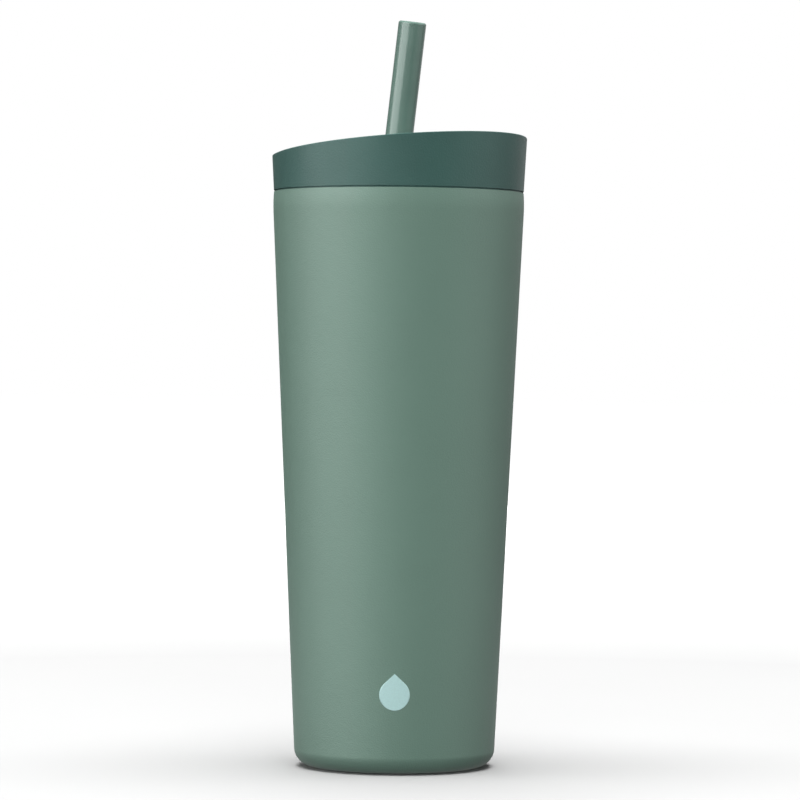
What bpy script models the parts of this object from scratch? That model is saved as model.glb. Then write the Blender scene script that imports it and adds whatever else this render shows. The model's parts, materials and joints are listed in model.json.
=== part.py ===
"""Insulated drinking tumbler: a vacuum cup, a push-in lid with a turning sip closure, and a straw.

Row frame: metres, +Z up, origin at the centre of the foot. +X points to the high side of the lid's
sloped rim, and the straw leans towards it, in the XZ plane.
"""

import math

import bmesh
import bpy
from mathutils import Matrix, Vector

MM = 0.001
CLEARANCE = 0.3 * MM  # between pieces that touch, seal or are welded to each other
ROUND = 48  # sides of the large turned pieces
SMALL_ROUND = 24  # sides of the small ones
OVERSHOOT = 2.0 * MM  # how far a cutter runs past the wall it cuts

# Cup: two steel sheets with a vacuum between them, both cones of the same taper
MOUTH_Z = 200.85 * MM
BASE_RADIUS = 34.7 * MM  # where the outer cone would meet z = 0
TAPER = 0.0465  # radius gained for each unit of height
SHEET = 0.5 * MM
WALL = 2.6 * MM  # outer face to inner face
SHOULDER_DROP = 2.0 * MM
SHOULDER_WIDTH = 1.4 * MM
FOOT_FILLET = 6.0 * MM
FOOT_Z = 0.3 * MM  # the steel foot stands this far above the pad's sole
FLOOR_Z = 8.6 * MM
FLOOR_FILLET = 6.0 * MM

# Underside of the cup
LIP_RADIUS = 27.0 * MM  # the foot's inner lip, which the base plate is welded into
LIP_TOP_Z = 2.6 * MM
PLATE_Z = 2.0 * MM
DIMPLE_RADIUS = 8.0 * MM
DIMPLE_RISE = 1.4 * MM
BEAD_RADIUS = 3.0 * MM
BEAD_THICKNESS = 0.8 * MM
PORT_RADIUS = 1.0 * MM  # evacuation hole
COVER_RADIUS = 7.4 * MM
COVER_Z = 1.2 * MM
PAD_CHAMFER = 0.4 * MM
PAD_HOLE_RADIUS = 9.0 * MM
GETTER_RADIUS = 4.7 * MM
GETTER_X = 16.0 * MM
GETTER_THICKNESS = 1.7 * MM
CLIP_SHEET = 0.4 * MM
CLIP_HEIGHT = 1.5 * MM

# Lid: an outer shell over a plug that enters the mouth
LID_RADIUS = 43.56 * MM  # at the seam
LID_DRAFT = 0.0595
LID_SEAM_Z = 200.55 * MM
RIM_Z = 215.6 * MM  # the rim's height above the lid's centre
RIM_SLOPE = 0.0922  # rise for each unit along +X
RIM_FILLET = 0.5 * MM
RIM_WIDTH = 3.0 * MM
DECK_Z = 205.5 * MM
DECK_THICKNESS = 2.0 * MM
DECK_RADIUS = 40.4 * MM
HUB_RADIUS = 10.2 * MM
HUB_BORE = 8.6 * MM
HUB_TOP_Z = 210.0 * MM
SKIRT_RADIUS = 40.9 * MM  # the shell's pocket for the plug

PLUG_BOTTOM_Z = 186.0 * MM
PLUG_RADIUS = 39.9 * MM  # at its bottom edge
PLUG_DRAFT = 0.029
PLUG_WALL_RADIUS = 36.8 * MM  # inner face of the plug's wall
PLUG_FLOOR = 1.8 * MM
CHIMNEY_RADIUS = 10.2 * MM  # round way for the straw through the lid's air space
CHIMNEY_WALL = 1.4 * MM
PLUG_CHAMFER = 0.8 * MM
GROOVE_Z = 192.5 * MM  # middle of the gasket's groove
GROOVE_HEIGHT = 4.0 * MM
GROOVE_RADIUS = 38.2 * MM
GASKET_REACH = 40.68 * MM  # outer edge of the gasket's two lips
GASKET_WEB = 1.3 * MM  # between the groove and the root of the lips
GASKET_LIP = 0.5 * MM

# Sip way through deck and plug, on the low side of the rim (azimuth 180 degrees)
SIP_INNER = 28.5 * MM
SIP_OUTER = 36.5 * MM
SIP_HALF_ANGLE = 11.0
SIP_WALL = 1.2 * MM
SIP_WALL_ANGLE = 2.6

# Turning closure
DIAL_RADIUS = 38.0 * MM
DIAL_THICKNESS = 2.2 * MM
DIAL_LIFT = 2 * CLEARANCE  # above the deck
DIAL_TRAVEL = 60.0  # degrees from closed to open
WINDOW_AZIMUTH = 180.0 - DIAL_TRAVEL
TAB_AZIMUTH = -30.0
TAB_SIZE = Vector((17.0, 4.6, 3.4)) * MM
TAB_MIDDLE_RADIUS = 25.0 * MM
TAB_CORNER = 1.5 * MM
TAB_SUNK = 0.5 * MM
TAB_NARROWING = 0.8  # of the top against the foot
SEAL_DEPTH = 1.0 * MM
SEAL_MARGIN = (1.5 * MM, 0.7 * MM, 4.0)  # pocket past the sip way: inwards, outwards, and in degrees
SEAL_GAP_ANGLE = 0.7  # leaves the clearance at the pad's ends
DIAL_EDGE = 0.6 * MM
STOP_RADIUS = 20.0 * MM
STOP_AZIMUTH = 60.0
STOP_PIN_RADIUS = 1.1 * MM
STOP_PIN_HEIGHT = 1.4 * MM
STOP_GROOVE_HALF_WIDTH = STOP_PIN_RADIUS + CLEARANCE
STOP_END_ANGLE = 4.5  # room for the pin at each end of the groove
HUB_RING_WIDTH = 3.0 * MM
HUB_RING_THICKNESS = 1.4 * MM
HUB_RING_EDGE = 0.4 * MM

# Air valve, in the plug's floor
VENT_RADIUS = 24.0 * MM
VENT_AZIMUTH = -90.0
VENT_HOLE = 1.5 * MM
VENT_PINHOLE = 0.8 * MM
VENT_CAP_RADIUS = 4.0 * MM
VENT_CAP_THICKNESS = 0.9 * MM
VENT_BULB_RADIUS = 2.0 * MM
VENT_BULB_HEIGHT = 1.8 * MM

# Straw
STRAW_RADIUS = 4.85 * MM
STRAW_BORE = 3.95 * MM
STRAW_LEAN = math.radians(7.6)
STRAW_CROSSING = Vector((0.38, 0.0, 222.9)) * MM  # a point on its axis
STRAW_TOP_Z = 259.5 * MM
STRAW_TIP_Z = 16.0 * MM
STRAW_EDGE = 0.35 * MM
GROMMET_RADIUS = HUB_BORE - CLEARANCE
GROMMET_FLANGE_RADIUS = 9.9 * MM
GROMMET_FLANGE = 1.5 * MM
GROMMET_EDGE = 0.5 * MM

DIAL_Z = DECK_Z + DIAL_LIFT
DIAL_TOP_Z = DIAL_Z + DIAL_THICKNESS
STRAW_AXIS = Vector((math.sin(STRAW_LEAN), 0.0, math.cos(STRAW_LEAN)))


def clear_scene():
    for found in list(bpy.data.objects):
        bpy.data.objects.remove(found)


def painted(name, colour, roughness, metallic=0.0):
    """A Principled material of one colour."""
    paint = bpy.data.materials.new(name)
    paint.use_nodes = True
    shader = paint.node_tree.nodes["Principled BSDF"]
    shader.inputs["Base Color"].default_value = (*colour, 1.0)
    shader.inputs["Roughness"].default_value = roughness
    shader.inputs["Metallic"].default_value = metallic
    return paint


def placed(name, builder, paint=None):
    """An object made from a bmesh, which it uses up."""
    bmesh.ops.recalc_face_normals(builder, faces=builder.faces)
    mesh = bpy.data.meshes.new(name)
    builder.to_mesh(mesh)
    builder.free()
    mesh.shade_smooth()
    mesh.set_sharp_from_angle(angle=math.radians(30))
    made = bpy.data.objects.new(name, mesh)
    bpy.context.scene.collection.objects.link(made)
    if paint:
        mesh.materials.append(paint)
    return made


def turned_mesh(outline, sides=ROUND):
    """A bmesh turned about Z. The outline is closed, unless it starts and ends on the axis."""
    builder = bmesh.new()
    points = [builder.verts.new((radius, 0.0, height)) for radius, height in outline]
    pairs = list(zip(points, points[1:]))
    if outline[0][0] > 0.0:
        pairs.append((points[-1], points[0]))
    edges = [builder.edges.new(pair) for pair in pairs]
    bmesh.ops.spin(
        builder,
        geom=points + edges,
        cent=(0.0, 0.0, 0.0),
        axis=(0.0, 0.0, 1.0),
        angle=2 * math.pi,
        steps=sides,
        use_merge=True,
    )
    bmesh.ops.remove_doubles(builder, verts=builder.verts, dist=1e-7)
    return builder


def turned(name, outline, paint=None, sides=ROUND):
    return placed(name, turned_mesh(outline, sides), paint)


def prism(name, outline, low, high, paint=None):
    """A flat outline of (x, y) points drawn up from one height to another."""
    builder = bmesh.new()
    base = builder.faces.new([builder.verts.new((x, y, low)) for x, y in outline])
    raised = bmesh.ops.extrude_face_region(builder, geom=[base])["geom"]
    bmesh.ops.translate(
        builder,
        vec=(0.0, 0.0, high - low),
        verts=[item for item in raised if isinstance(item, bmesh.types.BMVert)],
    )
    return placed(name, builder, paint)


def sector(name, inner, outer, azimuth, half_angle, low, high, paint=None, steps=6):
    """A block between two radii and two azimuths, in degrees."""
    turns = [azimuth + half_angle * (2 * i / steps - 1) for i in range(steps + 1)]
    outline = [polar(outer, turn) for turn in turns] + [polar(inner, turn) for turn in reversed(turns)]
    return prism(name, outline, low, high, paint)


def polar(radius, degrees):
    return radius * math.cos(math.radians(degrees)), radius * math.sin(math.radians(degrees))


def arc(centre, radii, start, end, steps):
    """Points of an elliptical arc, in degrees, ends included. Both radii are equal on a round one."""
    found = []
    for i in range(steps + 1):
        turn = math.radians(start + (end - start) * i / steps)
        found.append((centre[0] + radii[0] * math.cos(turn), centre[1] + radii[1] * math.sin(turn)))
    return found


def rod(name, radius, start, end, paint=None, sides=SMALL_ROUND):
    """A straight round rod between two points."""
    builder = bmesh.new()
    along = end - start
    turn = along.to_track_quat("Z", "Y").to_matrix().to_4x4()
    bmesh.ops.create_cone(
        builder,
        cap_ends=True,
        segments=sides,
        radius1=radius,
        radius2=radius,
        depth=along.length,
        matrix=Matrix.Translation((start + end) / 2) @ turn,
    )
    return placed(name, builder, paint)


def combine(target, tool, operation):
    """Adds an exact Boolean to the target and hides the tool."""
    step = target.modifiers.new(tool.name, "BOOLEAN")
    step.operation = operation
    step.object = tool
    tool.hide_render = True
    tool.display_type = "WIRE"


def cut(target, tool):
    combine(target, tool, "DIFFERENCE")


def unite(target, tool):
    combine(target, tool, "UNION")


def cone_radius(height, inset=0.0):
    """Radius of the cup's outer cone at a height, less an inset."""
    return BASE_RADIUS + TAPER * height - inset


def straw_point(height):
    """The point of the straw's axis at a height."""
    return STRAW_CROSSING + STRAW_AXIS * ((height - STRAW_CROSSING.z) / STRAW_AXIS.z)


def foot_arc(inset):
    """The outer wall's rounded foot, from the sole outwards, or its inner face when inset."""
    centre = (cone_radius(FOOT_Z + FOOT_FILLET) - FOOT_FILLET, FOOT_Z + FOOT_FILLET)
    radius = FOOT_FILLET - inset
    return arc(centre, (radius, radius), -90.0, -math.degrees(math.atan(TAPER)), 4)


def shoulder_arc(inset):
    """The wall's rounded shoulder, from the cone up to the mouth, or its inner face when inset."""
    start = MOUTH_Z - SHOULDER_DROP
    centre = (cone_radius(start) - SHOULDER_WIDTH, start)
    return arc(centre, (SHOULDER_WIDTH - inset, SHOULDER_DROP - inset), 0.0, 90.0, 4)


def outer_wall(paint):
    lip_inner = [(LIP_RADIUS + SHEET, LIP_TOP_Z), (LIP_RADIUS + SHEET, FOOT_Z + SHEET)]
    lip_outer = [(LIP_RADIUS, FOOT_Z + SHEET), (LIP_RADIUS, LIP_TOP_Z)]
    outside = [(LIP_RADIUS + SHEET, FOOT_Z), *foot_arc(0.0), *shoulder_arc(0.0)]
    inside = [*reversed(shoulder_arc(SHEET)), *reversed(foot_arc(SHEET))]
    turned("outer_wall", [*lip_outer[::-1], *outside, *inside, *lip_inner[::-1]], paint)


def inner_liner(paint):
    """The drink's steel cup. Its top edge is welded inside the outer wall's shoulder."""
    def floor_arc(inset):
        height = FLOOR_Z + FLOOR_FILLET
        centre = (cone_radius(height, WALL) - FLOOR_FILLET, height)
        radius = FLOOR_FILLET + inset
        return arc(centre, (radius, radius), -90.0, -math.degrees(math.atan(TAPER)), 4)

    inside = [(0.0, FLOOR_Z), *floor_arc(0.0), (cone_radius(MOUTH_Z, WALL), MOUTH_Z)]
    outside = [(cone_radius(MOUTH_Z, WALL - SHEET), MOUTH_Z), *reversed(floor_arc(SHEET))]
    outside.append((0.0, FLOOR_Z - SHEET))
    turned("inner_liner", inside + outside, paint)


def base_plate(paint):
    """The disc that closes the vacuum, with a raised dimple around the evacuation port."""
    slope = DIMPLE_RADIUS - DIMPLE_RISE
    edge = LIP_RADIUS - CLEARANCE
    under = [(PORT_RADIUS, PLATE_Z + DIMPLE_RISE), (slope, PLATE_Z + DIMPLE_RISE)]
    under += [(DIMPLE_RADIUS, PLATE_Z), (edge, PLATE_Z)]
    over = [(radius, height + SHEET) for radius, height in reversed(under)]
    turned("base_plate", under + over, paint)


def vacuum_seal(paint):
    """The bead of solder glass that stops the port, under the dimple."""
    top = PLATE_Z + DIMPLE_RISE - CLEARANCE
    stem = PORT_RADIUS - CLEARANCE
    low = top - BEAD_THICKNESS
    outline = [(0.0, low), (BEAD_RADIUS - BEAD_THICKNESS, low), (BEAD_RADIUS, top - BEAD_THICKNESS / 2)]
    outline += [(BEAD_RADIUS, top), (stem, top), (stem, top + SHEET), (0.0, top + SHEET)]
    turned("vacuum_seal_bead", outline, paint, SMALL_ROUND)


def base_cover(paint):
    """The thin disc that hides the sealed port."""
    top = COVER_Z + SHEET
    outline = [(0.0, COVER_Z), (COVER_RADIUS, COVER_Z), (COVER_RADIUS, top), (0.0, top)]
    turned("base_cover_disc", outline, paint)


def foot_pad(paint):
    """The ring of silicone that the tumbler stands on, inside the foot's lip."""
    top = PLATE_Z - CLEARANCE
    edge = LIP_RADIUS - 2 * CLEARANCE
    outline = [(PAD_HOLE_RADIUS, 0.0), (edge - PAD_CHAMFER, 0.0), (edge, PAD_CHAMFER)]
    outline += [(edge, top), (PAD_HOLE_RADIUS, top)]
    turned("foot_pad", outline, paint)


def getter(clip_paint, pellet_paint):
    """The pellet that keeps the vacuum, in a small cup on the base plate."""
    inner = GETTER_RADIUS + CLEARANCE
    outer = inner + CLIP_SHEET
    floor = PLATE_Z + SHEET + CLEARANCE
    shelf = floor + CLIP_SHEET
    lip = floor + CLIP_HEIGHT
    outline = [(0.0, floor), (outer, floor), (outer, lip), (inner, lip), (inner, shelf), (0.0, shelf)]
    clip = turned("getter_clip", outline, clip_paint, SMALL_ROUND)
    low = shelf + CLEARANCE
    high = low + GETTER_THICKNESS
    edge = [(GETTER_RADIUS, low), (GETTER_RADIUS, high - CLEARANCE), (GETTER_RADIUS - CLEARANCE, high)]
    pellet = turned("getter_pellet", [(0.0, low), *edge, (0.0, high)], pellet_paint, SMALL_ROUND)
    for piece in (clip, pellet):
        piece.location.x = GETTER_X


def slope_rim(builder):
    """Lifts the rim towards +X along the wall's own draft, and leaves the deck level."""
    for vertex in builder.verts:
        if vertex.co.z < RIM_Z - 2 * RIM_FILLET:
            continue
        lift = RIM_SLOPE * vertex.co.x
        grown = 1.0 + LID_DRAFT * lift / vertex.co.xy.length
        vertex.co.x *= grown
        vertex.co.y *= grown
        vertex.co.z += lift


def lid_shell(paint):
    """The visible lid: a band with a sloped rim around a level, recessed deck with a hub."""
    rim_radius = LID_RADIUS + LID_DRAFT * (RIM_Z - LID_SEAM_Z)
    crest = RIM_Z - RIM_FILLET
    fillet = (RIM_FILLET, RIM_FILLET)
    outside = arc((rim_radius - RIM_FILLET, crest), fillet, 0.0, 90.0, 3)
    inside = arc((rim_radius - RIM_WIDTH + RIM_FILLET, crest), fillet, 90.0, 180.0, 3)
    deck = [(DECK_RADIUS, DECK_Z + 1.0 * MM), (DECK_RADIUS - 1.0 * MM, DECK_Z)]
    hub = [(HUB_RADIUS, DECK_Z), (HUB_RADIUS, HUB_TOP_Z), (HUB_BORE, HUB_TOP_Z)]
    seat = MOUTH_Z + CLEARANCE
    ceiling = DECK_Z - DECK_THICKNESS
    under = [(HUB_BORE, ceiling), (SKIRT_RADIUS, ceiling), (SKIRT_RADIUS, seat)]
    under.append((cone_radius(MOUTH_Z) - SHOULDER_WIDTH + CLEARANCE, seat))
    outline = [(LID_RADIUS, LID_SEAM_Z), *outside, *inside, *deck, *hub, *under]
    builder = turned_mesh(outline)
    slope_rim(builder)
    shell = placed("lid_shell", builder, paint)
    low, high = ceiling - OVERSHOOT, DECK_Z + OVERSHOOT
    cut(shell, sector("deck_sip_cutter", SIP_INNER, SIP_OUTER, 180.0, SIP_HALF_ANGLE, low, high))
    vent = polar(VENT_RADIUS, VENT_AZIMUTH)
    pinhole = Vector((*vent, low)), Vector((*vent, high))
    cut(shell, rod("pinhole_cutter", VENT_PINHOLE, *pinhole, sides=12))
    pin = Vector((*polar(STOP_RADIUS, STOP_AZIMUTH), DECK_Z))
    lift = Vector((0.0, 0.0, STOP_PIN_HEIGHT))
    unite(shell, rod("stop_pin", STOP_PIN_RADIUS, pin - lift, pin + lift, sides=12))


def lid_plug(paint):
    """The part of the lid inside the mouth: a trough with a chimney for the straw and one for sipping."""
    top = DECK_Z - DECK_THICKNESS - CLEARANCE
    floor = PLUG_BOTTOM_Z + PLUG_FLOOR
    outer = CHIMNEY_RADIUS + CHIMNEY_WALL
    chimney = [(CHIMNEY_RADIUS, PLUG_BOTTOM_Z), (CHIMNEY_RADIUS, top), (outer, top), (outer, floor)]
    trough = [(PLUG_WALL_RADIUS, floor), (PLUG_WALL_RADIUS, top), (plug_radius(top), top)]
    high = GROOVE_Z + GROOVE_HEIGHT / 2
    low = GROOVE_Z - GROOVE_HEIGHT / 2
    groove = [(plug_radius(high), high), (GROOVE_RADIUS, high), (GROOVE_RADIUS, low), (plug_radius(low), low)]
    foot = [(PLUG_RADIUS, PLUG_BOTTOM_Z + PLUG_CHAMFER), (PLUG_RADIUS - PLUG_CHAMFER, PLUG_BOTTOM_Z)]
    plug = turned("lid_plug", chimney + trough + groove + foot, paint)
    wide = SIP_HALF_ANGLE + SIP_WALL_ANGLE
    block = (SIP_INNER - SIP_WALL, SIP_OUTER + SIP_WALL, 180.0, wide, PLUG_BOTTOM_Z + PLUG_FLOOR / 2, top)
    unite(plug, sector("sip_chimney", *block))
    way = (SIP_INNER, SIP_OUTER, 180.0, SIP_HALF_ANGLE, PLUG_BOTTOM_Z - OVERSHOOT, top + OVERSHOOT)
    cut(plug, sector("plug_sip_cutter", *way))
    vent = Vector((*polar(VENT_RADIUS, VENT_AZIMUTH), PLUG_BOTTOM_Z))
    through = Vector((0.0, 0.0, PLUG_FLOOR + OVERSHOOT))
    cut(plug, rod("vent_cutter", VENT_HOLE, vent - through, vent + through, sides=12))


def plug_radius(height):
    return PLUG_RADIUS + PLUG_DRAFT * (height - PLUG_BOTTOM_Z)


def plug_gasket(paint):
    """A silicone ring with two lips that bear on the liner."""
    inner = GROOVE_RADIUS + CLEARANCE
    root = GROOVE_RADIUS + GASKET_WEB
    high = GROOVE_Z + GROOVE_HEIGHT / 2 - CLEARANCE
    low = GROOVE_Z - GROOVE_HEIGHT / 2 + CLEARANCE
    outline = [(root, GROOVE_Z + GASKET_LIP), (GASKET_REACH, high - GASKET_LIP), (GASKET_REACH, high)]
    outline += [(inner, high), (inner, low), (GASKET_REACH - GASKET_LIP, low)]
    outline += [(GASKET_REACH, low + GASKET_LIP), (root, GROOVE_Z - GASKET_LIP)]
    turned("plug_gasket", outline, paint)


def vent_valve(paint):
    """A mushroom of silicone: its cap covers the vent hole from below, its bulb holds it from above."""
    cap = PLUG_BOTTOM_Z - CLEARANCE
    bulb = PLUG_BOTTOM_Z + PLUG_FLOOR + CLEARANCE
    stem = VENT_HOLE - CLEARANCE
    low = cap - VENT_CAP_THICKNESS
    high = bulb + VENT_BULB_HEIGHT
    outline = [(0.0, low), (VENT_CAP_RADIUS / 2, low), (VENT_CAP_RADIUS, cap - VENT_CAP_THICKNESS / 3)]
    outline += [(VENT_CAP_RADIUS, cap), (stem, cap), (stem, bulb), (VENT_BULB_RADIUS, bulb)]
    outline += [(VENT_BULB_RADIUS, bulb + VENT_BULB_HEIGHT / 2), (stem, high), (0.0, high)]
    valve = turned("vent_valve", outline, paint, SMALL_ROUND)
    valve.location.xy = polar(VENT_RADIUS, VENT_AZIMUTH)


def straw_grommet(paint):
    """The silicone bush in the hub. Its bore follows the straw's lean."""
    low = DECK_Z - DECK_THICKNESS + CLEARANCE
    seat = HUB_TOP_Z + CLEARANCE
    top = seat + GROMMET_FLANGE
    edge = GROMMET_EDGE
    outline = [(0.0, low), (GROMMET_RADIUS - edge, low), (GROMMET_RADIUS, low + edge)]
    outline += [(GROMMET_RADIUS, seat), (GROMMET_FLANGE_RADIUS, seat)]
    outline += [(GROMMET_FLANGE_RADIUS, top - edge), (GROMMET_FLANGE_RADIUS - edge, top), (0.0, top)]
    grommet = turned("straw_grommet", outline, paint, 32)
    ends = straw_point(low - 3 * OVERSHOOT), straw_point(top + 3 * OVERSHOOT)
    cut(grommet, rod("grommet_bore_cutter", STRAW_RADIUS + CLEARANCE, *ends))


def hub_ring(paint):
    """The snap ring on the hub, which keeps the dial down."""
    low = DIAL_TOP_Z + CLEARANCE
    high = low + HUB_RING_THICKNESS
    inner = HUB_RADIUS + CLEARANCE
    outer = inner + HUB_RING_WIDTH
    outline = [(inner, low), (outer, low), (outer, high - HUB_RING_EDGE)]
    outline += [(outer - HUB_RING_EDGE, high), (inner, high)]
    turned("hub_ring", outline, paint, 32)


def sip_dial(paint, seal_paint):
    """The turning closure: a disc with a window, a finger tab and a silicone pad over the sip way."""
    inner = HUB_RADIUS + CLEARANCE
    outline = [(inner, DIAL_Z), (DIAL_RADIUS, DIAL_Z), (DIAL_RADIUS, DIAL_TOP_Z - DIAL_EDGE)]
    outline += [(DIAL_RADIUS - DIAL_EDGE, DIAL_TOP_Z), (inner, DIAL_TOP_Z)]
    dial = turned("sip_dial", outline, paint)
    low, high = DIAL_Z - OVERSHOOT, DIAL_TOP_Z + OVERSHOOT
    cut(dial, sector("window_cutter", SIP_INNER, SIP_OUTER, WINDOW_AZIMUTH, SIP_HALF_ANGLE, low, high))
    pocket = (SIP_INNER - SEAL_MARGIN[0], SIP_OUTER + SEAL_MARGIN[1], 180.0, SIP_HALF_ANGLE + SEAL_MARGIN[2])
    cut(dial, sector("seal_pocket_cutter", *pocket, low, DIAL_Z + SEAL_DEPTH))
    groove = (STOP_RADIUS - STOP_GROOVE_HALF_WIDTH, STOP_RADIUS + STOP_GROOVE_HALF_WIDTH)
    middle = STOP_AZIMUTH - DIAL_TRAVEL / 2
    half_angle = DIAL_TRAVEL / 2 + STOP_END_ANGLE
    top = DECK_Z + STOP_PIN_HEIGHT + CLEARANCE
    cut(dial, sector("stop_groove_cutter", *groove, middle, half_angle, low, top, steps=12))
    unite(dial, finger_tab())
    pad = (pocket[0] + CLEARANCE, pocket[1] - CLEARANCE, 180.0, pocket[3] - SEAL_GAP_ANGLE)
    sector("dial_seal", *pad, DECK_Z + CLEARANCE, DIAL_Z + SEAL_DEPTH - CLEARANCE, seal_paint)


def finger_tab():
    """A tapered bar along a radius of the dial, sunk into its top."""
    builder = bmesh.new()
    bmesh.ops.create_cube(builder, size=1.0)
    for vertex in builder.verts:
        narrow = TAB_NARROWING if vertex.co.z > 0 else 1.0
        vertex.co.x *= TAB_SIZE.x * narrow
        vertex.co.y *= TAB_SIZE.y * narrow
        vertex.co.z = DIAL_TOP_Z + (TAB_SIZE.z if vertex.co.z > 0 else -TAB_SUNK)
    upright = [edge for edge in builder.edges if abs(edge.verts[0].co.z - edge.verts[1].co.z) > TAB_SUNK]
    bmesh.ops.bevel(builder, geom=upright, offset=TAB_CORNER, segments=3, profile=0.5, affect="EDGES")
    turn = Matrix.Rotation(math.radians(TAB_AZIMUTH), 4, "Z")
    bmesh.ops.transform(
        builder, matrix=turn @ Matrix.Translation((TAB_MIDDLE_RADIUS, 0.0, 0.0)), verts=builder.verts
    )
    return placed("finger_tab", builder)


def straw(paint):
    """A straight tube. Its object stands on its tip and leans with the straw."""
    length = (STRAW_TOP_Z - STRAW_TIP_Z) / STRAW_AXIS.z
    outer, inner, edge = STRAW_RADIUS, STRAW_BORE, STRAW_EDGE
    outline = [(inner, 0.0), (outer - edge, 0.0), (outer, edge), (outer, length - edge)]
    outline += [(outer - edge, length), (inner, length)]
    tube = turned("straw", outline, paint, SMALL_ROUND)
    tube.location = straw_point(STRAW_TIP_Z)
    tube.rotation_euler.y = STRAW_LEAN


def main():
    clear_scene()
    coat = painted("powder_coat", (0.100, 0.180, 0.140), 0.5)
    steel = painted("steel", (0.62, 0.62, 0.61), 0.3, 1.0)
    band = painted("lid_plastic", (0.030, 0.080, 0.070), 0.42)
    closure = painted("dial_plastic", (0.040, 0.096, 0.083), 0.38)
    foot = painted("foot_silicone", (0.050, 0.085, 0.075), 0.6)
    seal = painted("seal_silicone", (0.19, 0.29, 0.25), 0.6)
    tube = painted("straw_plastic", (0.100, 0.187, 0.153), 0.24)
    outer_wall(coat)
    inner_liner(steel)
    base_plate(steel)
    base_cover(steel)
    vacuum_seal(painted("solder_glass", (0.05, 0.05, 0.055), 0.15))
    getter(steel, painted("getter_alloy", (0.22, 0.21, 0.20), 0.8, 0.6))
    foot_pad(foot)
    lid_shell(band)
    lid_plug(band)
    plug_gasket(seal)
    vent_valve(seal)
    straw_grommet(seal)
    hub_ring(band)
    sip_dial(closure, seal)
    straw(tube)


main()
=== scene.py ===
"""Looks of the insulated tumbler: fine surfaces, finishes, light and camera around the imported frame."""

import json
import math

import bmesh
import bpy
from mathutils import Matrix, Vector


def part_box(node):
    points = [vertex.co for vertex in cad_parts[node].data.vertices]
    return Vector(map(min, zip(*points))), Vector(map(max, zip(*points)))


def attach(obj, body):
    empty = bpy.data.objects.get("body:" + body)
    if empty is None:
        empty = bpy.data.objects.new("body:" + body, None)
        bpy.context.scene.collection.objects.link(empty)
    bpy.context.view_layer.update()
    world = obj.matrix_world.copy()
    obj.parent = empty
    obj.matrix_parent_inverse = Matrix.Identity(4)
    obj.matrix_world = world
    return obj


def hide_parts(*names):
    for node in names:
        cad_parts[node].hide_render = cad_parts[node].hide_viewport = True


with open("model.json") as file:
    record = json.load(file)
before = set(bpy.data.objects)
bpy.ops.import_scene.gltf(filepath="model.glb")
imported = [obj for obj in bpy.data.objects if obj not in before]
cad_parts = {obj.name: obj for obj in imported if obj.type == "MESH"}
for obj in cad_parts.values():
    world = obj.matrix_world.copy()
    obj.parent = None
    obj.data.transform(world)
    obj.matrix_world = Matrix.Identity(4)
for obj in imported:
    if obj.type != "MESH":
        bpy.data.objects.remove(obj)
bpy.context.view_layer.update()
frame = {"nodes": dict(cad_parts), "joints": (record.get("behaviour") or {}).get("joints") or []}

MM = 0.001
SIDES = 240  # of the large turned pieces
SMALL_SIDES = 96
ARC_STEP = math.radians(12)  # turn of each step round a fillet
SHARP = math.radians(40)  # edges that turn more than this stay sharp


def span(node):
    """(radius, lowest, highest) of a node that is round about the cup's axis."""
    low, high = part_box(node)
    return high.y, low.z, high.z


def frame_joint(name):
    return next(joint for joint in frame["joints"] if joint["name"] == name)


def straw_radius():
    low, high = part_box("straw")
    return (high.y - low.y) / 2


def straw_ends():
    """Centres of the straw's tip and top, from its box and its axis."""
    low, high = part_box("straw")
    axis = Vector(frame_joint("straw_slide")["axis"])
    reach = Vector((axis.z, 0.0, axis.x)) * straw_radius()
    return Vector((low.x, 0.0, low.z)) + reach, Vector((high.x, 0.0, high.z)) - reach


def straw_point(height):
    """The point of the straw's axis at a height."""
    tip, top = straw_ends()
    return tip.lerp(top, (height - tip.z) / (top.z - tip.z))


def straw_turn():
    tip, top = straw_ends()
    return (top - tip).to_track_quat("Z", "Y").to_matrix().to_4x4()


# Cup, from the frame: radius of the cone at its shoulder, sole and mouth
WALL_RADIUS, FOOT_Z, MOUTH_Z = span("outer_wall")
TAPER = 0.0465
SHEET = 0.5 * MM
WALL = 2.6 * MM
SHOULDER_DROP = 2.0 * MM
SHOULDER_WIDTH = 1.7 * MM
SHOULDER_BEND = 3.5 * MM  # from the seam down to the middle of the bend
SHOULDER_ARC = 55.0 * MM
SHOULDER_INSET = 0.45 * MM
SEAM_GAP = 0.5 * MM
BEAD_WIDTH = 0.15 * MM  # of the ring under the lid's band, just above the shoulder
BEAD_GAP = 0.06 * MM  # between that ring and the shoulder
FOOT_FILLET = 6.0 * MM
FLOOR_FILLET = 6.0 * MM
LIP_WIDTH = 0.3 * MM  # between the foot's lip and the base plate
FILM = 0.03 * MM  # height of the printed mark above the coat

# Lid
RIM_Z = 215.7 * MM
RIM_SLOPE = 0.0946
LEVELLING_START = -24.0 * MM  # from here to the low side the slope eases off
RIM_LEVELLING = 2.3  # metres of lift for each square metre past that
RIM_FILLET = 0.3 * MM
RIM_WIDTH = 3.0 * MM
LID_DRAFT = 0.054
LID_RADIUS = 43.6 * MM
SEAM_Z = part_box("lid_shell")[0].z
DECK_Z = 205.5 * MM
DECK_THICKNESS = 2.0 * MM
DECK_RADIUS = 40.4 * MM
HUB_BORE = 8.6 * MM
HUB_RADIUS = 10.2 * MM
HUB_HEIGHT = 4.5 * MM
SKIRT_RADIUS = 40.9 * MM
SIP = (28.5 * MM, 36.5 * MM, 11.0)  # inner and outer radius of the sip way, and half its angle
SIP_AZIMUTH = 180.0
SIP_CORNER = 1.2 * MM  # round of its outline
FLARE = 0.4 * MM  # round of the sip way's edges
PLUG_FLOOR = 1.8 * MM
VENT_Y = -24.0 * MM
VENT_RADIUS = 1.5 * MM
STRAW_BORE = 3.95 * MM
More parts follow.
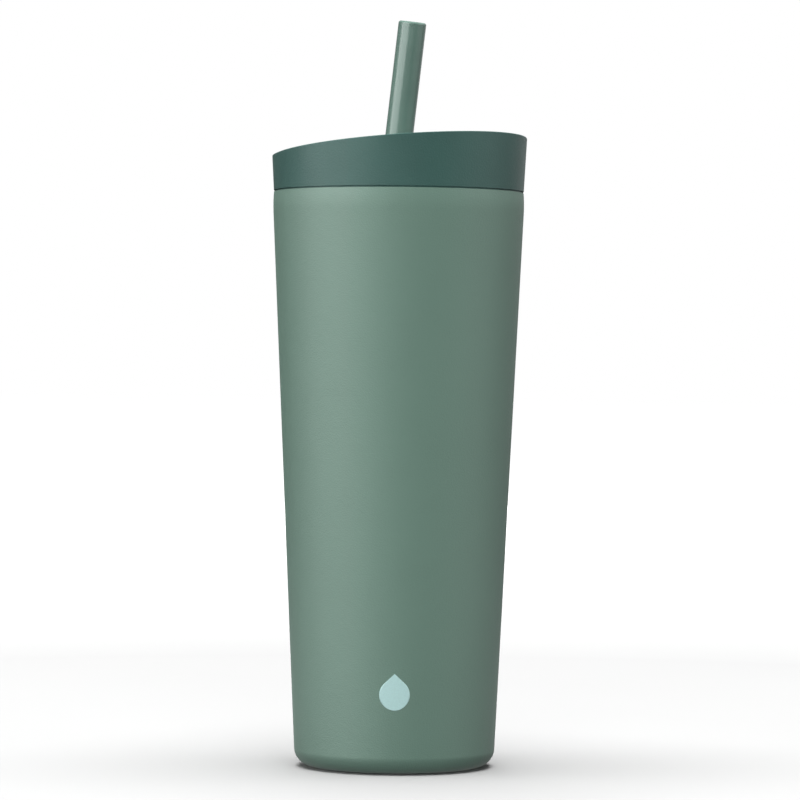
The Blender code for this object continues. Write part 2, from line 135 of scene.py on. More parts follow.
CLEARANCE = 0.3 * MM

# The photo's view, round the tumbler's own axes
VIEW_AZIMUTH = 34.3
CAMERA_DISTANCE = 1.3198
CAMERA_HEIGHT = 0.1394
CAMERA_SIDESTEP = 1.02 * MM
CAMERA_PITCH = -0.506
CAMERA_ROLL = 0.483
LENS = 170.08
SENSOR = 36.0

# Light: panels round the tumbler, the room that its gloss shows, and what the floor sends back
PANEL_DISTANCE = 2.5
CEILING = 2.8
FILL_WIDTH = 2.0
FILL_HEIGHT = 1.0
WORLD_GLOSS = 0.19
FLOOR_SIZE = 12.0
FLOOR_TONE = 0.34  # of a floor that the ceiling panel lights to near white
FLOOR_WHITE = (0.5, 2.5)  # distances from the foot over which the floor fades to white
FLOOR_BOUNCE = 0.27
FLOOR_GLOSS = 0.42  # what gloss sees on top of the bounce
BOUNCE_RISE = (0.04, 0.16)  # distances over which the bounce comes up
BOUNCE_FALL = (0.22, 0.9)  # and dies away


# Shapes


def rounded(corners, closed=True):
    """Points of an outline. Each corner is (x, y) or (x, y, fillet), and a fillet becomes an arc."""
    points = []
    last = len(corners) - 1
    for i, (x, y, *fillet) in enumerate(corners):
        here = Vector((x, y))
        if not fillet or (not closed and i in (0, last)):
            points.append(here)
            continue
        back = (Vector(corners[i - 1][:2]) - here).normalized()
        ahead = (Vector(corners[(i + 1) % len(corners)][:2]) - here).normalized()
        turn = math.pi - back.angle(ahead)
        reach = fillet[0] * math.tan(turn / 2)
        centre = here + (back + ahead).normalized() * fillet[0] / math.cos(turn / 2)
        first = here + back * reach - centre
        steps = max(4, math.ceil(turn / ARC_STEP))
        side = 1.0 if first.x * (here - centre).y > first.y * (here - centre).x else -1.0
        for step in range(steps + 1):
            points.append(centre + Matrix.Rotation(side * turn * step / steps, 2) @ first)
    return points


def tidy(mesh):
    """Shades a mesh smooth between its sharp edges."""
    mesh.shade_smooth()
    mesh.set_sharp_from_angle(angle=SHARP)


def object_of(name, builder):
    """An object made from a bmesh, which it uses up."""
    bmesh.ops.remove_doubles(builder, verts=builder.verts, dist=1e-7)
    bmesh.ops.recalc_face_normals(builder, faces=builder.faces)
    mesh = bpy.data.meshes.new(name)
    builder.to_mesh(mesh)
    builder.free()
    tidy(mesh)
    made = bpy.data.objects.new(name, mesh)
    bpy.context.scene.collection.objects.link(made)
    return made


def lathe_mesh(corners, sides=SIDES, closed=True):
    """A bmesh turned about Z from corners of (radius, height, fillet). An open one ends on the axis."""
    builder = bmesh.new()
    outline = [builder.verts.new((p.x, 0.0, p.y)) for p in rounded(corners, closed)]
    pairs = list(zip(outline, outline[1:]))
    if closed:
        pairs.append((outline[-1], outline[0]))
    edges = [builder.edges.new(pair) for pair in pairs]
    bmesh.ops.spin(
        builder,
        geom=outline + edges,
        cent=(0.0, 0.0, 0.0),
        axis=(0.0, 0.0, 1.0),
        angle=2 * math.pi,
        steps=sides,
        use_merge=True,
    )
    return builder


def lathe(name, corners, sides=SIDES, closed=True):
    return object_of(name, lathe_mesh(corners, sides, closed))


def loft(name, rings):
    """A closed solid through rings of points, all with the same number of them."""
    builder = bmesh.new()
    loops = [[builder.verts.new(point) for point in ring] for ring in rings]
    for low, high in zip(loops, loops[1:]):
        for i, vertex in enumerate(low):
            builder.faces.new((low[i - 1], vertex, high[i], high[i - 1]))
    builder.faces.new(list(reversed(loops[0])))
    builder.faces.new(loops[-1])
    return object_of(name, builder)


def polar(radius, turn):
    return radius * Vector((math.cos(turn), math.sin(turn)))


def sweep(centre, radius, start, end, steps=8):
    """Points of an arc between two directions, in the plane."""
    return [centre + polar(radius, start + (end - start) * i / steps) for i in range(steps + 1)]


def sector(shape, azimuth, grow=0.0):
    """Outline between two radii and two azimuths, with round corners, grown outwards by a distance."""
    inner, outer, half_angle = shape
    half = math.radians(half_angle)
    far = half - math.asin(SIP_CORNER / (outer - SIP_CORNER))
    near = half - math.asin(SIP_CORNER / (inner + SIP_CORNER))
    origin = Vector((0.0, 0.0))
    square = half + math.pi / 2
    far_centre = polar(outer - SIP_CORNER, far)
    near_centre = polar(inner + SIP_CORNER, near)
    side = sweep(origin, outer + grow, 0.0, far)
    side += sweep(far_centre, SIP_CORNER + grow, far, square)[1:]
    side += sweep(near_centre, SIP_CORNER + grow, square, near + math.pi)
    side += sweep(origin, inner - grow, near, 0.0)[1:]
    outline = side + [Vector((p.x, -p.y)) for p in reversed(side[1:-1])]
    turn = Matrix.Rotation(math.radians(azimuth), 2)
    return [turn @ point for point in outline]


def flared_cutter(name, shape, azimuth, low, high):
    """A cutter with the outline of a sector that widens at both faces, so the hole's edges come out round."""
    turns = [math.radians(15 * i) for i in range(1, 7)]
    curve = [(FLARE * (1 - math.cos(turn)), FLARE * (1 - math.sin(turn))) for turn in turns]
    levels = [(low - FLARE, FLARE), (low, FLARE)]
    levels += [(low + depth, grow) for depth, grow in curve]
    levels += [(high - depth, grow) for depth, grow in reversed(curve)]
    levels += [(high, FLARE), (high + FLARE, FLARE)]
    rings = [[(*point, height) for point in sector(shape, azimuth, grow)] for height, grow in levels]
    return loft(name, rings)


def sector_block(name, shape, azimuth, low, high):
    """A plain upright block with the outline of a sector."""
    outline = sector(shape, azimuth)
    return loft(name, [[(*point, height) for point in outline] for height in (low, high)])


def pin(name, radius, low, high, sides):
    """A plain upright cylinder, for drilling."""
    return lathe(name, [(0.0, low), (radius, low), (radius, high), (0.0, high)], sides, closed=False)


def combine(target, tool, operation):
    """Applies an exact Boolean and removes the tool."""
    step = target.modifiers.new("step", "BOOLEAN")
    step.operation = operation
    step.object = tool
    graph = bpy.context.evaluated_depsgraph_get()
    joined = bpy.data.meshes.new_from_object(target.evaluated_get(graph))
    target.modifiers.clear()
    target.data = joined
    joined.name = target.name
    tidy(joined)
    bpy.data.objects.remove(tool)


def settle(piece, paint, body, slot, *nodes):
    """Gives a finished shape its material, its body and the frame's nodes that it stands for."""
    piece.data.materials.clear()
    piece.data.materials.append(paint)
    even = piece.modifiers.new("even_normals", "WEIGHTED_NORMAL")
    even.keep_sharp = True
    even.weight = 80
    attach(piece, body)
    if nodes:
        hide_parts(*nodes)


# Finishes


class Finish:
    """A Principled material and the nodes that vary it, laid out in the piece's own space, in metres."""

    def __init__(self, name, roughness, **sockets):
        self.material = bpy.data.materials.new(name)
        self.material.use_nodes = True
        self.tree = self.material.node_tree
        self.shader = self.tree.nodes["Principled BSDF"]
        self.shader.inputs["Roughness"].default_value = roughness
        for key, value in sockets.items():  # specular_ior_level sets Specular IOR Level
            socket = key.replace("_", " ").title().replace("Ior", "IOR")
            self.shader.inputs[socket].default_value = value
        self.space = self.tree.nodes.new("ShaderNodeTexCoord").outputs["Object"]

    def add(self, kind, **settings):
        node = self.tree.nodes.new(kind)
        for key, value in settings.items():
            setattr(node, key, value)
        return node

    def link(self, output, target):
        self.tree.links.new(output, target)

    def noise(self, size, detail=2.0, stretch=(1.0, 1.0, 1.0), low=0.35, high=0.65):
        """Noise from 0 to 1 whose grains are about that size, and longer along an axis with more stretch."""
        place = self.add("ShaderNodeMapping")
        place.inputs["Scale"].default_value = [1.0 / (size * s) for s in stretch]
        self.link(self.space, place.inputs["Vector"])
        grain = self.add("ShaderNodeTexNoise")
        grain.inputs["Scale"].default_value = 1.0
        grain.inputs["Detail"].default_value = detail
        self.link(place.outputs["Vector"], grain.inputs["Vector"])
        return self.spread(grain.outputs["Fac"], low, high, 0.0, 1.0)

    def spread(self, value, low, high, to_low, to_high):
        """Maps a range of values onto another, held at its ends."""
        node = self.add("ShaderNodeMapRange")
        for socket, number in zip(("From Min", "From Max", "To Min", "To Max"), (low, high, to_low, to_high)):
            node.inputs[socket].default_value = number
        self.link(value, node.inputs["Value"])
        return node.outputs["Result"]

    def blend(self, share, first, second):
        """A colour between two, each of which is a colour or an output."""
        node = self.add("ShaderNodeMix", data_type="RGBA")
        self.link(share, node.inputs["Factor"])
        for colour, index in ((first, 6), (second, 7)):  # the sockets of colours A and B
            if isinstance(colour, tuple):
                node.inputs[index].default_value = (*colour, 1.0)
            else:
                self.link(colour, node.inputs[index])
        return node.outputs[2]

    def colour(self, output):
        self.link(output, self.shader.inputs["Base Color"])

    def rough(self, value, low, high):
        self.link(self.spread(value, 0.0, 1.0, low, high), self.shader.inputs["Roughness"])

    def bump(self, value, depth):
        """Adds relief of that depth on top of what is there."""
        node = self.add("ShaderNodeBump")
        node.inputs["Strength"].default_value = 1.0
        node.inputs["Distance"].default_value = depth
        self.link(value, node.inputs["Height"])
        socket = self.shader.inputs["Normal"]
        if socket.is_linked:
            self.link(socket.links[0].from_socket, node.inputs["Normal"])
        self.link(node.outputs["Normal"], socket)


def scaled(colour, factor):
    return tuple(channel * factor for channel in colour)


def powder_coat():
    """Matte baked powder: a fine pebble, a faint orange peel and slight clouding."""
    base = (0.0992, 0.17, 0.1357)
    coat = Finish("baked_coat", 0.5, specular_ior_level=0.5)
    pebble = coat.noise(0.45 * MM, detail=1.0)
    cloud = coat.noise(24 * MM, detail=3.0)
    tone = coat.blend(pebble, scaled(base, 0.965), scaled(base, 1.035))
    worn = coat.blend(cloud, tone, scaled(base, 1.03))
    coat.colour(worn)
    coat.rough(pebble, 0.46, 0.54)
    coat.bump(coat.noise(2.6 * MM), 0.012 * MM)
    coat.bump(pebble, 0.021 * MM)
    return coat.material


def moulded(name, base, roughness, gloss):
    """Injection-moulded plastic with a spark-eroded texture."""
    plastic = Finish(name, roughness, specular_ior_level=gloss)
    texture = plastic.noise(0.6 * MM, detail=2.0)
    flow = plastic.noise(14 * MM, detail=2.0)
    plastic.colour(plastic.blend(flow, scaled(base, 0.97), scaled(base, 1.03)))
    plastic.rough(texture, roughness - 0.04, roughness + 0.04)
    plastic.bump(texture, 0.018 * MM)
    return plastic.material


def brushed_steel(name, base, roughness):
    """Stainless steel brushed round the cup's axis: short fine lines that lie level."""
    steel = Finish(name, roughness, metallic=1.0)
    lines = steel.noise(0.16 * MM, detail=2.0, stretch=(40.0, 40.0, 1.0), low=0.3, high=0.7)
    stain = steel.noise(18 * MM, detail=4.0)
    steel.colour(steel.blend(stain, scaled(base, 0.93), scaled(base, 1.04)))
    steel.rough(lines, roughness - 0.08, roughness + 0.1)
    steel.bump(lines, 0.004 * MM)
    return steel.material


def silicone(name, base):
    """Soft silicone with a dusty bloom."""
    rubber = Finish(name, 0.6, specular_ior_level=0.35, sheen_weight=0.15, sheen_roughness=0.5)
    bloom = rubber.noise(3.0 * MM, detail=4.0)
    grain = rubber.noise(0.25 * MM, detail=1.0)
    rubber.colour(rubber.blend(bloom, scaled(base, 0.94), scaled(base, 1.07)))
    rubber.rough(bloom, 0.55, 0.68)
    rubber.bump(grain, 0.004 * MM)
    return rubber.material


def straw_plastic():
    """Extruded plastic, semi-gloss, with faint draw lines along the tube."""
    base = (0.104, 0.171, 0.144)
    tube = Finish("extruded_tube", 0.21, specular_ior_level=0.45)
    lines = tube.noise(0.5 * MM, detail=2.0, stretch=(1.0, 1.0, 60.0))
    flow = tube.noise(9 * MM, detail=2.0)
    tube.colour(tube.blend(flow, scaled(base, 0.97), scaled(base, 1.03)))
    tube.rough(flow, 0.19, 0.23)
    tube.bump(lines, 0.0015 * MM)
    return tube.material


def ink():
    """Screen-printed ink, a little thinner in places."""
    base = (0.39, 0.585, 0.575)
    print_ink = Finish("mark_ink", 0.5, specular_ior_level=0.4)
    thin = print_ink.noise(0.5 * MM, detail=3.0)
    print_ink.colour(print_ink.blend(thin, scaled(base, 0.93), base))
    print_ink.rough(thin, 0.45, 0.55)
    print_ink.bump(thin, 0.003 * MM)
    return print_ink.material


def sintered(name, base, roughness, metallic):
    """The rough, dark pieces inside the vacuum."""
    lump = Finish(name, roughness, metallic=metallic)
    grain = lump.noise(0.3 * MM, detail=3.0)
    lump.colour(lump.blend(grain, scaled(base, 0.8), scaled(base, 1.2)))
    lump.bump(grain, 0.02 * MM)
    return lump.material


# Cup


def cone(height, inset=0.0):
    """Radius of the cup's outer cone at a height, less an inset."""
    return WALL_RADIUS + TAPER * (height - MOUTH_Z + SHOULDER_DROP) - inset


def cup_wall(paint):
    plate_radius = span("base_plate")[0]
    lip_top = span("base_plate")[2] - SHEET
    lip = plate_radius + LIP_WIDTH
    shoulder = MOUTH_Z - SHOULDER_DROP
    edge = SEAM_Z - SEAM_GAP
    outside = [
        (lip, lip_top),
        (lip, FOOT_Z, 0.45 * MM),
        (cone(FOOT_Z), FOOT_Z, FOOT_FILLET),
        (cone(edge - SHOULDER_BEND), edge - SHOULDER_BEND, SHOULDER_ARC),
        (cone(edge, SHOULDER_INSET), edge, 0.2 * MM),
        (cone(edge, SHOULDER_WIDTH), edge),
        (cone(MOUTH_Z, SHOULDER_WIDTH), MOUTH_Z, 0.2 * MM),
    ]
    inside = [
        (cone(MOUTH_Z, WALL - SHEET), MOUTH_Z),
        (cone(edge - SHEET, WALL - SHEET), edge - SHEET),
        (cone(shoulder - SHEET, SHEET + 0.1 * MM), shoulder - SHEET),
        (cone(FOOT_Z + SHEET, SHEET), FOOT_Z + SHEET, FOOT_FILLET - SHEET),
        (lip + SHEET, FOOT_Z + SHEET),
        (lip + SHEET, lip_top),
    ]
    settle(lathe("cup_wall", outside + inside), paint, "cup", "powder_coat", "outer_wall")


def liner(paint):
    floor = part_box("inner_liner")[0].z + SHEET
    edge = 0.22 * MM
    corners = [
        (0.0, floor),
        (cone(floor, WALL), floor, FLOOR_FILLET),
        (cone(MOUTH_Z, WALL), MOUTH_Z, edge),
        (cone(MOUTH_Z, WALL - SHEET), MOUTH_Z, edge),
        (cone(floor - SHEET, WALL - SHEET), floor - SHEET, FLOOR_FILLET + SHEET),
        (0.0, floor - SHEET),
    ]
    settle(lathe("liner", corners, closed=False), paint, "cup", "steel", "inner_liner")


def underside(steel, rubber):
    """The dimpled base plate, the cover disc under it, and the grooved foot ring."""
    radius, low, high = span("base_plate")
    port, dimple, rise = 1.0 * MM, 8.0 * MM, high - low - SHEET
    under = [
        (port, low + rise),
        (dimple - rise, low + rise, 1.0 * MM),
        (dimple, low, 1.0 * MM),
        (radius, low),
    ]
    over = [(x, y + SHEET, *fillet) for x, y, *fillet in reversed(under)]
    settle(lathe("base_disc", under + over), steel, "cup", "steel", "base_plate")
    radius, low, high = span("base_cover_disc")
    corners = [(0.0, low), (radius, low, 0.2 * MM), (radius, high, 0.1 * MM), (0.0, high)]
    settle(lathe("cover_disc", corners, SMALL_SIDES, closed=False), steel, "cup", "steel", "base_cover_disc")
    radius, low, high = span("foot_pad")
    hole, groove, ridge = 9.0 * MM, 0.5 * MM, 4.2 * MM
    corners = [(hole, high), (hole, low, 0.35 * MM)]
    for i in range(3):
        middle = hole + ridge * (i + 1)
        corners.append((middle - groove, low, 0.15 * MM))
        corners.append((middle, low + groove, 0.2 * MM))
        corners.append((middle + groove, low, 0.15 * MM))
    corners += [(radius, low, 0.5 * MM), (radius, high, 0.2 * MM)]
    settle(lathe("foot_ring", corners), rubber, "cup", "foot_silicone", "foot_pad")


def mark(paint):
    """A plain drop printed near the foot, facing the camera: one row of the grid for each height."""
    size, middle = 12.5 * MM, 28.7 * MM
    bulb = size * 0.42
    centre = -size / 2 + bulb
    tip = size / 2
    tangent = math.asin(bulb / (tip - centre))
    rows, columns = 48, 24
    builder = bmesh.new()
    grid = []
    for row in range(rows + 1):
        v = -size / 2 + size * (1 - math.cos(math.pi * row / rows)) / 2
        if v < centre + bulb * math.sin(tangent):
            half = math.sqrt(max(0.0, bulb**2 - (v - centre) ** 2))
        else:
            half = (tip - v) * math.tan(tangent)
        line = []
        for column in range(columns + 1):
            u = half * (2 * column / columns - 1)
            height = middle + v
            radius = cone(height) + FILM
            turn = math.radians(VIEW_AZIMUTH - 90.0) + u / radius
            line.append(builder.verts.new((radius * math.cos(turn), radius * math.sin(turn), height)))
        grid.append(line)
    for low, high in zip(grid, grid[1:]):
        for i in range(columns):
            builder.faces.new((low[i], low[i + 1], high[i + 1], high[i]))
    bmesh.ops.remove_doubles(builder, verts=builder.verts, dist=1e-6)
    bmesh.ops.dissolve_degenerate(builder, edges=builder.edges, dist=1e-7)
    piece = object_of("printed_drop", builder)
    thick = piece.modifiers.new("film", "SOLIDIFY")
    thick.thickness = FILM * 0.8  # its back stays clear of the coat
    thick.offset = -1.0
    settle(piece, paint, "cup", "seal_silicone")


# Lid


def slope_rim(builder):
    """Tilts the rim up towards +X along the wall's own draft, levels its low side off, and keeps the deck."""
    for vertex in builder.verts:
        if vertex.co.z < RIM_Z - 2 * RIM_FILLET:
            continue
        lift = RIM_SLOPE * vertex.co.x
        level = RIM_LEVELLING * max(0.0, LEVELLING_START - vertex.co.x) ** 2
        grown = 1.0 + LID_DRAFT * lift / vertex.co.xy.length
        vertex.co.x *= grown
        vertex.co.y *= grown
        vertex.co.z += lift + level


def lid_band(paint):
    rim_radius = LID_RADIUS + LID_DRAFT * (RIM_Z - SEAM_Z)
    hub_top = DECK_Z + HUB_HEIGHT
    seat = MOUTH_Z + CLEARANCE
    bead_inner = cone(MOUTH_Z, SHOULDER_WIDTH) + CLEARANCE
    bead_outer = bead_inner + BEAD_WIDTH
    bead_low = SEAM_Z - SEAM_GAP + BEAD_GAP
    corners = [
        (bead_outer, SEAM_Z),
        (LID_RADIUS, SEAM_Z, 0.12 * MM),
        (rim_radius, RIM_Z, RIM_FILLET),
        (rim_radius - RIM_WIDTH, RIM_Z, RIM_FILLET),
        (DECK_RADIUS, DECK_Z, 1.4 * MM),
        (HUB_RADIUS, DECK_Z, 0.4 * MM),
        (HUB_RADIUS, hub_top, 0.3 * MM),
        (HUB_BORE, hub_top, 0.3 * MM),
        (HUB_BORE, DECK_Z - DECK_THICKNESS, 0.3 * MM),
        (SKIRT_RADIUS, DECK_Z - DECK_THICKNESS, 0.4 * MM),
        (SKIRT_RADIUS, seat, 0.4 * MM),
        (bead_inner, seat),
        (bead_inner, bead_low, 0.08 * MM),
        (bead_outer, bead_low, 0.08 * MM),
    ]
    builder = lathe_mesh(corners)
    slope_rim(builder)
    band = object_of("lid_band", builder)
    cutter = flared_cutter("sip_cutter", SIP, SIP_AZIMUTH, DECK_Z - DECK_THICKNESS, DECK_Z)
    combine(band, cutter, "DIFFERENCE")
    settle(band, paint, "lid", "lid_plastic", "lid_shell")


def plug(paint):
    bottom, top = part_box("lid_plug")[0].z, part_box("lid_plug")[1].z
    radius = 39.9 * MM
    draft = 0.029
    wall = 36.8 * MM
    floor = bottom + PLUG_FLOOR
    chimney, chimney_wall = 10.2 * MM, 1.4 * MM
    groove_low, groove_high, groove = 190.5 * MM, 194.5 * MM, 38.2 * MM
    corners = [
        (chimney, bottom, 0.5 * MM),
        (chimney, top),
        (chimney + chimney_wall, top),
        (chimney + chimney_wall, floor, 1.0 * MM),
        (wall, floor, 1.0 * MM),
        (wall, top),
        (radius + draft * (top - bottom), top, 0.4 * MM),
        (radius + draft * (groove_high - bottom), groove_high, 0.3 * MM),
        (groove, groove_high),
        (groove, groove_low),
        (radius + draft * (groove_low - bottom), groove_low, 0.3 * MM),
        (radius, bottom, 1.0 * MM),
    ]
    piece = lathe("plug", corners)
    inner, outer, half = SIP
    shell = (inner - 1.2 * MM, outer + 1.2 * MM, half + 2.6)
    combine(piece, sector_block("sip_chimney", shell, SIP_AZIMUTH, bottom + 0.9 * MM, top), "UNION")
    combine(piece, flared_cutter("sip_cutter", SIP, SIP_AZIMUTH, bottom, top), "DIFFERENCE")
    drill = pin("vent_cutter", VENT_RADIUS, bottom - MM, floor + MM, 32)
    drill.data.transform(Matrix.Translation((0.0, VENT_Y, 0.0)))
    combine(piece, drill, "DIFFERENCE")
    settle(piece, paint, "lid", "lid_plastic", "lid_plug")


def gasket(paint):
    low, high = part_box("plug_gasket")[0].z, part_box("plug_gasket")[1].z
    reach = span("plug_gasket")[0]
    middle = (low + high) / 2
    inner, root, lip = 38.5 * MM, 39.5 * MM, 0.55 * MM
    corners = [
        (inner, low, 0.2 * MM),
        (reach, low, 0.3 * MM),
        (reach, low + lip, 0.2 * MM),
        (root, middle - lip, 0.4 * MM),
        (root, middle + lip, 0.4 * MM),
        (reach, high - lip, 0.2 * MM),
        (reach, high, 0.3 * MM),
        (inner, high, 0.2 * MM),
    ]
    settle(lathe("gasket", corners), paint, "lid_seal", "seal_silicone", "plug_gasket")


def valve(paint):
    low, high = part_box("vent_valve")
    middle = (low + high) / 2
    radius, stem = (high.x - low.x) / 2, 1.2 * MM
    cap = low.z + 0.9 * MM
    bulb = cap + PLUG_FLOOR + 2 * CLEARANCE
    corners = [
        (0.0, low.z),
        (radius * 0.6, low.z, 3.0 * MM),
        (radius, cap - 0.3 * MM, 0.12 * MM),
        (radius, cap, 0.1 * MM),
        (stem, cap, 0.2 * MM),
        (stem, bulb, 0.1 * MM),
        (2.0 * MM, bulb, 0.3 * MM),
        (1.4 * MM, high.z, 0.8 * MM),
        (0.0, high.z),
    ]
    piece = lathe("air_valve", corners, SMALL_SIDES, closed=False)
    piece.data.transform(Matrix.Translation((middle.x, middle.y, 0.0)))
    settle(piece, paint, "lid", "seal_silicone", "vent_valve")


def grommet(paint):
    radius, low, high = span("straw_grommet")
    body = HUB_BORE - CLEARANCE
    flange = high - 1.5 * MM
    bead = 1.6 * MM
    corners = [
        (0.0, low),
        (body, low, 0.5 * MM),
        (body, flange, 0.2 * MM),
        (radius, flange, 0.4 * MM),
        (radius, high, 0.7 * MM),
        (radius - bead, high, 0.4 * MM),
        (radius - bead - 0.5 * MM, high - 0.5 * MM, 0.4 * MM),
        (0.0, high - 0.5 * MM),
    ]
    piece = lathe("straw_bush", corners, SMALL_SIDES, closed=False)
    reach = 30.0 * MM
    bore = pin("bore", straw_radius() + CLEARANCE, -reach, reach, SMALL_SIDES)
    bore.data.transform(Matrix.Translation(straw_point((low + high) / 2)) @ straw_turn())
    combine(piece, bore, "DIFFERENCE")
    settle(piece, paint, "lid", "seal_silicone", "straw_grommet")


def snap_ring(paint):
    radius, low, high = span("hub_ring")
    inner = HUB_RADIUS + CLEARANCE
    corners = [(inner, low), (radius, low, 0.2 * MM), (radius, high, 0.6 * MM), (inner, high, 0.3 * MM)]
    settle(lathe("snap_ring", corners, SMALL_SIDES), paint, "lid", "lid_plastic", "hub_ring")


def dial(paint, rubber):
    radius, low, _ = span("sip_dial")
    top = low + 2.2 * MM
    corners = [
        (HUB_RADIUS + CLEARANCE, low),
        (radius, low, 0.3 * MM),
        (radius, top, 0.6 * MM),
        (HUB_RADIUS + CLEARANCE, top, 0.2 * MM),
    ]
    piece = lathe("dial", corners)
    travel = frame_joint("dial_turn")["range_deg"][1]
    combine(piece, flared_cutter("window", SIP, SIP_AZIMUTH - travel, low, top), "DIFFERENCE")
    pad_low, pad_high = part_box("dial_seal")[0].z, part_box("dial_seal")[1].z
    inner, outer, half = SIP
    pocket = (inner - 1.5 * MM, outer + 0.7 * MM, half + 4.0)
    combine(piece, sector_block("pocket", pocket, SIP_AZIMUTH, low - MM, pad_high + CLEARANCE), "DIFFERENCE")
    combine(piece, finger_tab(top), "UNION")
    settle(piece, paint, "dial", "dial_plastic", "sip_dial")
    pad = (inner - 1.2 * MM, outer + 0.4 * MM, half + 3.3)
    seal = sector_block("dial_pad", pad, SIP_AZIMUTH, pad_low, pad_high)
    settle(seal, rubber, "dial", "seal_silicone", "dial_seal")


def finger_tab(top):
    """A tapered bar with soft edges, sunk into the dial."""
    length, width, height, sunk = 17.0 * MM, 4.6 * MM, 3.4 * MM, 0.5 * MM
    builder = bmesh.new()
    bmesh.ops.create_cube(builder, size=1.0)
    for vertex in builder.verts:
        narrow = 0.8 if vertex.co.z > 0 else 1.0
        vertex.co.x *= length * narrow
        vertex.co.y *= width * narrow
        vertex.co.z = top + (height if vertex.co.z > 0 else -sunk)
    upright = [e for e in builder.edges if abs(e.verts[0].co.z - e.verts[1].co.z) > sunk]
    bmesh.ops.bevel(builder, geom=upright, offset=1.5 * MM, segments=8, profile=0.5, affect="EDGES")
    crown = [e for e in builder.edges if min(v.co.z for v in e.verts) > top + height / 2]
    bmesh.ops.bevel(builder, geom=crown, offset=0.6 * MM, segments=5, profile=0.5, affect="EDGES")
    place = Matrix.Rotation(math.radians(-30.0), 4, "Z") @ Matrix.Translation((25.0 * MM, 0.0, 0.0))
    bmesh.ops.transform(builder, matrix=place, verts=builder.verts)
    return object_of("finger_tab", builder)


# Straw


def straw(paint):
    tip, top = straw_ends()
    length = (top - tip).length
    outer = straw_radius()
    edge, soft = 0.22 * MM, 0.78 * MM
    corners = [(STRAW_BORE, 0.0, edge), (outer, 0.0, soft), (outer, length, soft), (STRAW_BORE, length, edge)]
    piece = lathe("drinking_straw", corners, SMALL_SIDES)
    piece.data.transform(Matrix.Translation(tip) @ straw_turn())
    settle(piece, paint, "straw", "straw_plastic", "straw")


# Studio


def around(azimuth, distance, height):
    """A point round the tumbler. Azimuth 0 is on the -Y side and 90 on the +X side."""
    turn = math.radians(azimuth)
    return Vector((math.sin(turn) * distance, -math.cos(turn) * distance, height))


def camera():
    lens = bpy.data.cameras.new("camera")
    lens.lens = LENS
    lens.sensor_width = SENSOR
    lens.clip_start = 0.01
    body = bpy.data.objects.new("camera", lens)
    right = Vector((math.cos(math.radians(VIEW_AZIMUTH)), math.sin(math.radians(VIEW_AZIMUTH)), 0.0))
    body.matrix_world = (
        Matrix.Translation(around(VIEW_AZIMUTH, CAMERA_DISTANCE, CAMERA_HEIGHT) + right * CAMERA_SIDESTEP)
        @ Matrix.Rotation(math.radians(VIEW_AZIMUTH), 4, "Z")
        @ Matrix.Rotation(math.radians(90.0 + CAMERA_PITCH), 4, "X")
        @ Matrix.Rotation(math.radians(CAMERA_ROLL), 4, "Z")
    )
    bpy.context.scene.collection.objects.link(body)
    bpy.context.scene.camera = body


def panel(name, width, height, radiance, place, turn, glossy):
    """A soft panel that shows in the gloss alone, or lights without showing there."""
    light = bpy.data.lights.new(name, "AREA")
    light.shape = "RECTANGLE"
    light.size, light.size_y = width, height
    light.energy = radiance * math.pi * width * height
    lamp = bpy.data.objects.new(name, light)
    lamp.location = place
    lamp.rotation_euler = turn
    lamp.visible_camera = False
    lamp.visible_glossy = glossy
    lamp.visible_diffuse = not glossy
    bpy.context.scene.collection.objects.link(lamp)


def upright(name, azimuth, width, radiance, glossy=False):
    """A panel that stands on the floor and faces the tumbler, at an azimuth from the camera's own."""
    height = CEILING if glossy else FILL_HEIGHT
    place = around(VIEW_AZIMUTH + azimuth, PANEL_DISTANCE, height / 2)
    turn = (math.pi / 2, 0.0, math.radians(VIEW_AZIMUTH + azimuth))
    panel(name, width, height, radiance, place, turn, glossy)


def surroundings():
    """A white room for the eye, which the tumbler's gloss shows dimly and which lights nothing else."""
    world = bpy.data.worlds.new("studio")
    world.use_nodes = True
    nodes, links = world.node_tree.nodes, world.node_tree.links
    rays = nodes.new("ShaderNodeLightPath")
    seen = nodes.new("ShaderNodeMath")
    seen.operation = "MULTIPLY_ADD"
    links.new(rays.outputs["Is Glossy Ray"], seen.inputs[0])
    seen.inputs[1].default_value = WORLD_GLOSS
    links.new(rays.outputs["Is Camera Ray"], seen.inputs[2])
    links.new(seen.outputs["Value"], nodes["Background"].inputs["Strength"])
    nodes["Background"].inputs["Color"].default_value = (1.0, 1.0, 1.0, 1.0)
    world.cycles.sampling_method = "NONE"
    bpy.context.scene.world = world


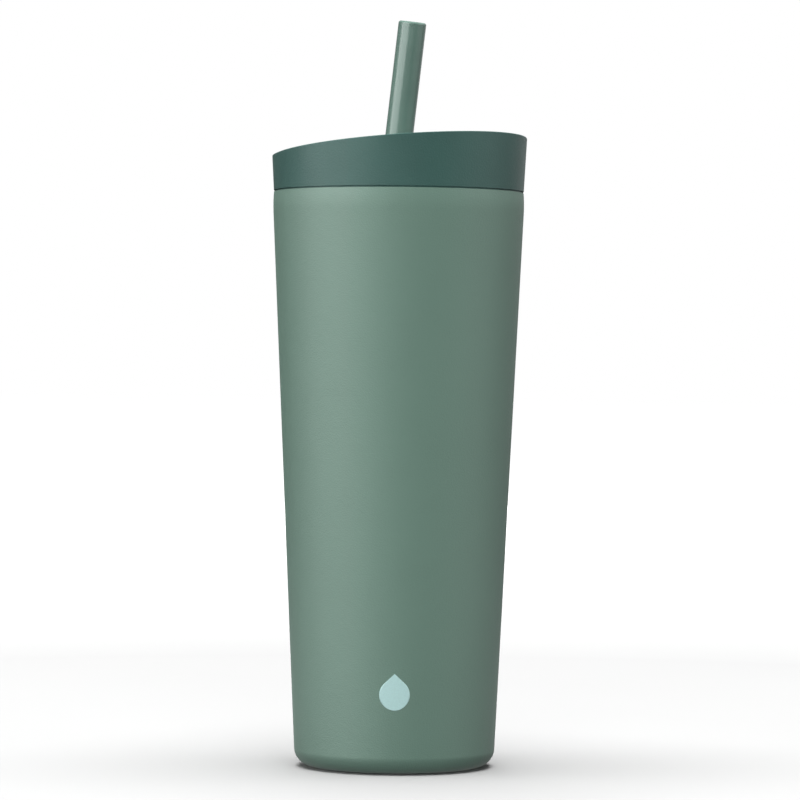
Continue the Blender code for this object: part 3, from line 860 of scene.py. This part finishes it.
def floor():
    """A pale floor that fades to white far off. What it sends back to the tumbler goes by distance."""
    builder = bmesh.new()
    bmesh.ops.create_grid(builder, x_segments=8, y_segments=8, size=FLOOR_SIZE)
    plane = object_of("floor", builder)
    pale = Finish("pale_floor", 0.8, specular_ior_level=0.0)
    mottle = pale.noise(0.2, detail=2.0)
    pale.colour(pale.blend(mottle, (FLOOR_TONE,) * 3, (FLOOR_TONE * 1.01,) * 3))
    away = pale.add("ShaderNodeVectorMath", operation="LENGTH")
    pale.link(pale.space, away.inputs[0])
    far = away.outputs["Value"]
    pale.shader.inputs["Emission Color"].default_value = (1.0, 1.0, 1.0, 1.0)
    pale.link(pale.spread(far, *FLOOR_WHITE, 0.0, 1.0), pale.shader.inputs["Emission Strength"])
    bounce = pale.add("ShaderNodeEmission")
    strength = pale.add("ShaderNodeMath", operation="MULTIPLY")
    rays = pale.add("ShaderNodeLightPath")
    near = pale.add("ShaderNodeMath", operation="MULTIPLY_ADD")
    pale.link(rays.outputs["Is Glossy Ray"], near.inputs[0])
    near.inputs[1].default_value = FLOOR_GLOSS
    pale.link(pale.spread(far, *BOUNCE_RISE, 0.0, FLOOR_BOUNCE), near.inputs[2])
    pale.link(near.outputs["Value"], strength.inputs[0])
    pale.link(pale.spread(far, *BOUNCE_FALL, 1.0, 0.0), strength.inputs[1])
    pale.link(strength.outputs["Value"], bounce.inputs["Strength"])
    choice = pale.add("ShaderNodeMixShader")
    pale.link(rays.outputs["Is Camera Ray"], choice.inputs["Fac"])
    pale.link(bounce.outputs["Emission"], choice.inputs[1])
    pale.link(pale.shader.outputs["BSDF"], choice.inputs[2])
    pale.link(choice.outputs["Shader"], pale.tree.nodes["Material Output"].inputs["Surface"])
    pale.material.cycles.emission_sampling = "NONE"
    plane.data.materials.append(pale.material)


def studio():
    camera()
    surroundings()
    floor()
    upright("key", -58.0, 3.4, 5.4, glossy=True)
    upright("side", 75.0, 2.7, 1.8, glossy=True)
    upright("rear", 135.0, 2.7, 0.5, glossy=True)
    upright("front_fill", 0.0, FILL_WIDTH, 8.5)
    upright("left_fill", -90.0, FILL_WIDTH, 4.9)
    upright("back_fill", 180.0, FILL_WIDTH, 5.3)
    panel("ceiling", 2.5, 2.5, 13.0, (0.0, 0.0, CEILING), (0.0, 0.0, 0.0), glossy=False)
    bpy.context.scene.view_settings.view_transform = "Standard"


def main():
    coat = powder_coat()
    steel = brushed_steel("brushed_steel", (0.60, 0.60, 0.59), roughness=0.3)
    band = moulded("moulded_lid", (0.0356, 0.0858, 0.0754), roughness=0.42, gloss=0.286)
    turning = moulded("moulded_dial", (0.045, 0.102, 0.089), roughness=0.38, gloss=0.33)
    foot = silicone("foot_rubber", (0.05, 0.085, 0.075))
    seals = silicone("seal_rubber", (0.11, 0.185, 0.16))
    cup_wall(coat)
    liner(steel)
    underside(steel, foot)
    mark(ink())
    lid_band(band)
    plug(band)
    gasket(seals)
    valve(seals)
    grommet(seals)
    snap_ring(band)
    dial(turning, seals)
    straw(straw_plastic())
    hidden = {
        "vacuum_seal_bead": sintered("sealing_glass", (0.05, 0.05, 0.055), roughness=0.15, metallic=0.0),
        "getter_clip": steel,
        "getter_pellet": sintered("getter_metal", (0.22, 0.21, 0.2), roughness=0.8, metallic=0.6),
    }
    for name, paint in hidden.items():
        frame["nodes"][name].data.materials.clear()
        frame["nodes"][name].data.materials.append(paint)
    studio()


main()
